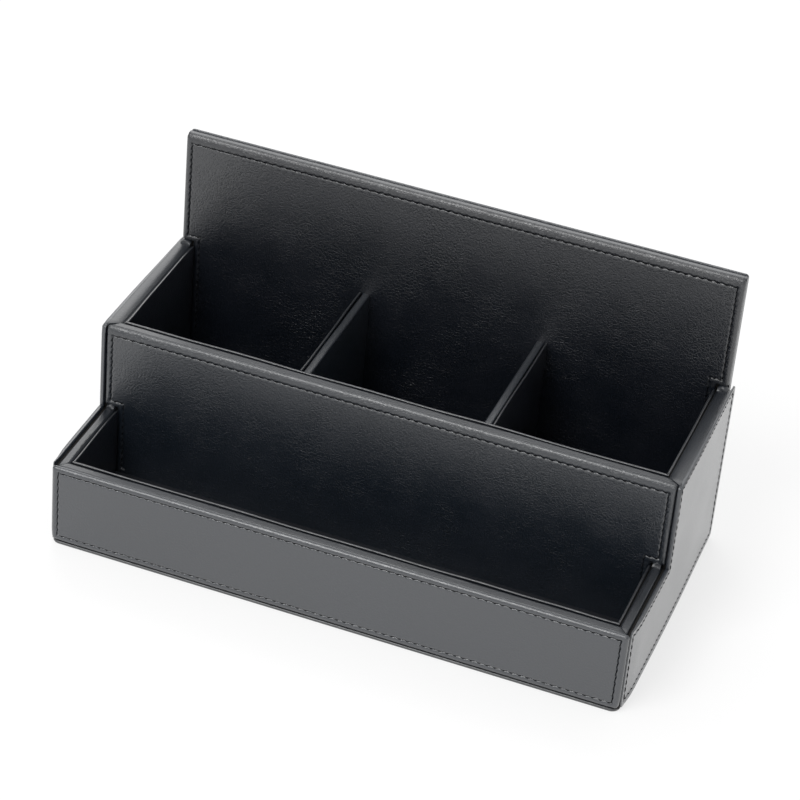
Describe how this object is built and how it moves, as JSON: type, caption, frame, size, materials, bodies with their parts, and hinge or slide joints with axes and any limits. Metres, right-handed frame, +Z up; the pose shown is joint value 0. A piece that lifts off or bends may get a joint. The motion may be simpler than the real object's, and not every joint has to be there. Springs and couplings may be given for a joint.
{
  "type": "desk utensil holder",
  "caption": "Stitched leather desk holder: low open tray in front, open upright cells behind it and a high back panel.",
  "frame": {"origin": "middle of the footprint, on the desk's surface", "axes": "+X to the right along the width as the tray faces the viewer, -Y towards the viewer, +Z up"},
  "size_m": [0.262, 0.136, 0.1385],
  "materials": {
    "skin_leather": "black, fine pebble grain, semi-gloss, stitched along every edge",
    "strip_leather": "black, smooth, semi-gloss rolled strip",
    "lining_leather": "black, smooth, satin",
    "base_leather": "black, matt",
    "board": "black-dyed fibreboard, seen only in the gaps beside the rim strips",
    "divider_board": "black-dyed greyboard, hidden under the leather",
    "thread": "waxed black thread"
  },
  "bodies": {
    "root": {"base_board": "board", "front_board": "board", "middle_board": "board", "back_board": "board", "left_side_board": "board", "right_side_board": "board", "left_divider_board": "divider_board", "right_divider_board": "divider_board", "front_skin": "skin_leather", "middle_skin": "skin_leather", "back_front_skin": "skin_leather", "back_rear_skin": "skin_leather", "left_side_skin": "skin_leather", "right_side_skin": "skin_leather", "base_skin": "base_leather", "front_rim_strip": "strip_leather", "middle_rim_strip": "strip_leather", "back_rim_strip": "strip_leather", "left_lower_rim_strip": "strip_leather", "right_lower_rim_strip": "strip_leather", "left_upper_rim_strip": "strip_leather", "right_upper_rim_strip": "strip_leather", "left_divider_wrap": "strip_leather", "right_divider_wrap": "strip_leather", "tray_front_lining": "lining_leather", "tray_left_lining": "lining_leather", "tray_right_lining": "lining_leather", "tray_floor_lining": "lining_leather", "cell_front_lining": "lining_leather", "left_cell_side_lining": "lining_leather", "right_cell_side_lining": "lining_leather", "left_divider_lining": "lining_leather", "right_divider_lining": "lining_leather", "left_cell_floor_lining": "lining_leather", "middle_cell_floor_lining": "lining_leather", "right_cell_floor_lining": "lining_leather"}
  },
  "joints": []
}
